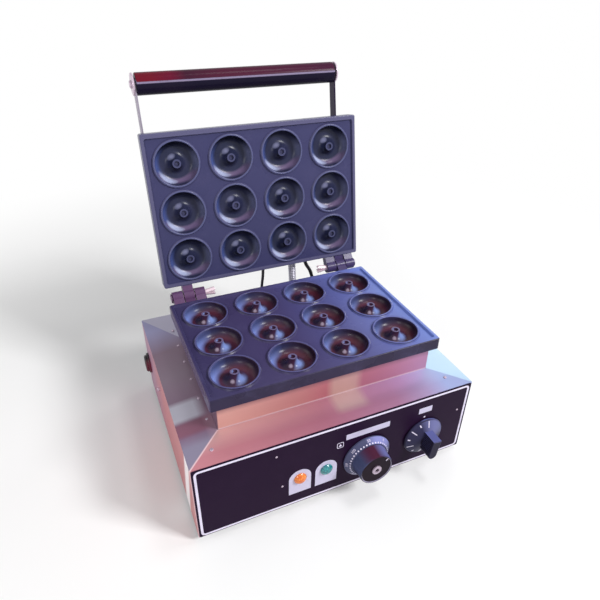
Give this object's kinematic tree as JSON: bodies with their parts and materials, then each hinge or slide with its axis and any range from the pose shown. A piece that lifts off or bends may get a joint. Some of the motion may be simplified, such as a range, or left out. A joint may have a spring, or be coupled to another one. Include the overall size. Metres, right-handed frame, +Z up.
{
  "type": "donut machine",
  "caption": "Donut maker: stainless casing with lamps, temperature and timer knobs, a cast plate of ring cavities on a raised collar, and a hinged lid with a matching plate and bar handle.",
  "frame": {"origin": "on the floor under the middle of the whole object's box, with the lid open", "axes": "+Z up, +Y to the rear (the side of the hinge), +X to the right as seen from the control panel"},
  "size_m": [0.3532, 0.3676, 0.4302],
  "materials": {
    "stainless": "brushed",
    "arm_steel": "satin",
    "fasteners": "satin",
    "bright_steel": "bright",
    "cast_plate": "satin dark coating",
    "heater_sheath": "oxidised",
    "insulation": "felted fibre",
    "overlay_film": "satin",
    "handle_plastic": "gloss",
    "knob_plastic": "satin gloss",
    "amber_plastic": "gloss",
    "green_plastic": "gloss",
    "control_plastic": "moulded",
    "black_plastic": "satin",
    "soft_rubber": "matte",
    "conduit_steel": "ribbed",
    "copper_tube": "drawn"
  },
  "bodies": {
    "base": {"body_wrap": "stainless", "top_cover": "stainless", "plate_collar": "stainless", "collar_rivets": "fasteners", "bottom_plate": "stainless", "front_panel": "stainless", "panel_overlay": "overlay_film", "panel_rivets": "fasteners", "support_pillars": "fasteners", "rubber_feet": "soft_rubber", "foot_screws": "fasteners", "cover_screws": "fasteners", "wall_screws": "fasteners", "lower_plate": "cast_plate", "plate_screws": "fasteners", "lower_heater": "heater_sheath", "lower_heater_clamp": "heater_sheath", "lower_insulation": "insulation", "lower_heat_shield": "stainless", "lower_clamp_bolts": "fasteners", "hinge_pins": "bright_steel", "thermostat_body": "control_plastic", "thermostat_capillary": "copper_tube", "timer_body": "control_plastic", "control_screws": "fasteners", "amber_lens": "amber_plastic", "green_lens": "green_plastic", "lamp_bodies": "control_plastic", "lamp_nuts": "fasteners", "terminal_block": "control_plastic", "wiring": "black_plastic", "cord_gland": "black_plastic", "gland_nut": "black_plastic", "conduit": "conduit_steel", "conduit_base_fitting": "conduit_steel", "earth_lead": "black_plastic", "sensor_lead": "black_plastic", "base_grommets": "soft_rubber"},
    "lid": {"upper_plate": "cast_plate", "upper_heater": "heater_sheath", "upper_heater_clamp": "heater_sheath", "upper_insulation": "insulation", "upper_standoffs": "fasteners", "lid_cover": "stainless", "lid_cover_screws": "fasteners", "handle_arm_left": "arm_steel", "handle_arm_right": "arm_steel", "arm_screws": "fasteners", "handle_grip": "handle_plastic", "handle_rod": "fasteners", "handle_caps": "bright_steel", "handle_nuts": "bright_steel", "conduit_lid_fitting": "conduit_steel", "lid_grommets": "soft_rubber"},
    "temperature_control": {"temperature_dial": "knob_plastic", "temperature_knob": "knob_plastic", "knob_ring": "bright_steel", "thermostat_spindle": "bright_steel"},
    "timer_control": {"timer_knob": "knob_plastic", "timer_spindle": "bright_steel"}
  },
  "joints": [
    {"name": "lid_hinge", "type": "hinge", "parent": "base", "child": "lid", "pos_m": [0.00325, 0.08276, 0.1687], "axis": [1, 0, 0], "range_deg": [0, 99.6], "deforming": ["conduit", "earth_lead", "sensor_lead"]},
    {"name": "temperature_turn", "type": "hinge", "parent": "base", "child": "temperature_control", "pos_m": [0.035, -0.15644, 0.0509], "axis": [0, 1, 0], "range_deg": [-90, 180]},
    {"name": "timer_turn", "type": "hinge", "parent": "base", "child": "timer_control", "pos_m": [0.11385, -0.15644, 0.0518], "axis": [0, 1, 0], "range_deg": [0, 300]}
  ]
}
